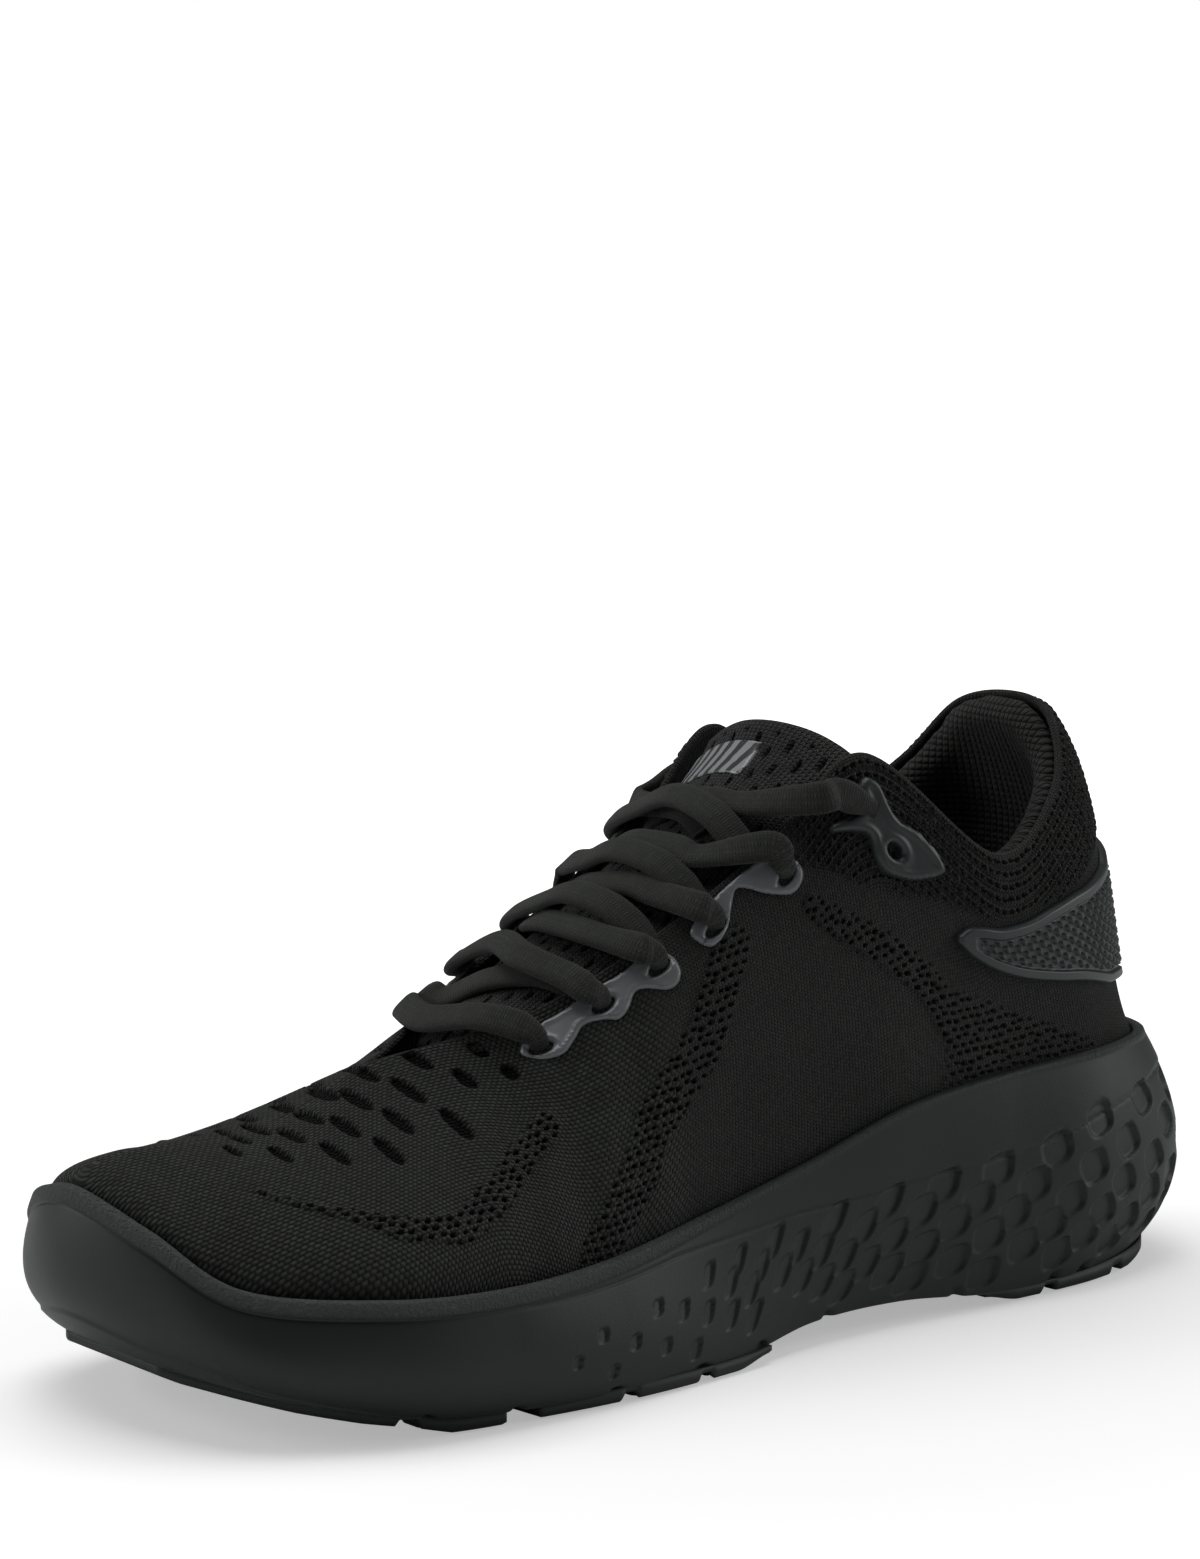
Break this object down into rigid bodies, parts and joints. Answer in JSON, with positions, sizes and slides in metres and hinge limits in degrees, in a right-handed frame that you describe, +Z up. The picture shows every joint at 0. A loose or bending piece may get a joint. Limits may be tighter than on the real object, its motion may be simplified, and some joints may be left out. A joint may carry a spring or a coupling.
{
  "type": "running shoe",
  "caption": "Low-cut knitted running shoe for the left foot, thick moulded foam sole, padded collar, heel clip, criss-cross laces through eyelet films; the toe bends.",
  "frame": {"origin": "on the ground, under the middle of the shoe's bounding box", "axes": "+X from heel to toe, +Y to the outer (lateral) side of the foot, +Z up"},
  "size_m": [0.2628, 0.0965, 0.119],
  "materials": {
    "tread_rubber": "matt moulded",
    "midsole_foam": "matt moulded foam with fine skin",
    "board_fabric": "needled fabric",
    "insole_foam": "brushed mesh over foam",
    "knit": "flat engineered knit",
    "stiffener_sheet": "thermoformed sheet",
    "heel_clip_plastic": "satin moulded plastic",
    "padding_foam": "open-cell foam",
    "lining_mesh": "pique knit",
    "reinforcing_tape": "woven tape",
    "eyelet_film": "satin film",
    "loop_plastic": "satin moulded plastic",
    "tongue_knit": "ribbed knit",
    "label_film": "glossy film",
    "lace_weave": "flat woven",
    "lace_tip_plastic": "shrunk film"
  },
  "bodies": {
    "rearfoot": {"outsole_heel": "tread_rubber", "outsole_forefoot": "tread_rubber", "midsole_rearfoot": "midsole_foam", "midsole_flex_zone": "midsole_foam", "strobel_board_rear": "board_fabric", "strobel_board_flex_zone": "board_fabric", "insole_arch": "insole_foam", "insole_flex_zone": "insole_foam", "upper_quarters": "knit", "upper_flex_zone": "knit", "heel_counter": "stiffener_sheet", "heel_clip": "heel_clip_plastic", "collar_foam": "padding_foam", "collar_lining": "lining_mesh", "eyestay_tape_lateral": "reinforcing_tape", "eyestay_tape_medial": "reinforcing_tape", "eyelet_film_lateral_front": "eyelet_film", "eyelet_film_lateral_rear": "eyelet_film", "eyelet_film_medial_front": "eyelet_film", "eyelet_film_medial_rear": "eyelet_film", "lace_loop_lateral": "loop_plastic", "lace_loop_medial": "loop_plastic", "tongue_face": "tongue_knit", "tongue_foam": "padding_foam", "lace": "lace_weave", "lace_tips": "lace_tip_plastic"},
    "forefoot": {"outsole_toe": "tread_rubber", "midsole_forefoot": "midsole_foam", "strobel_board_fore": "board_fabric", "insole_toe": "insole_foam", "upper_toe_box": "knit", "toe_puff": "stiffener_sheet"},
    "tongue_flap": {"tongue_top_face": "tongue_knit", "tongue_top_foam": "padding_foam", "tongue_label": "label_film"},
    "insole_end": {"insole_heel": "insole_foam"}
  },
  "joints": [
    {"name": "toe_flex", "type": "hinge", "parent": "rearfoot", "child": "forefoot", "pos_m": [0.066, 0, 0.008], "axis": [0, -1, 0], "range_deg": [0, 30], "deforming": ["midsole_flex_zone", "strobel_board_flex_zone", "insole_flex_zone", "upper_flex_zone"]},
    {"name": "tongue_fold", "type": "hinge", "parent": "rearfoot", "child": "tongue_flap", "pos_m": [-0.026, 0, 0.1115], "axis": [-0.1392, 0.9903, 0], "range_deg": [-5, 20]},
    {"name": "insole_lift", "type": "hinge", "parent": "rearfoot", "child": "insole_end", "pos_m": [0.022, 0, 0.0225], "axis": [0, 1, 0], "range_deg": [0, 6]}
  ]
}
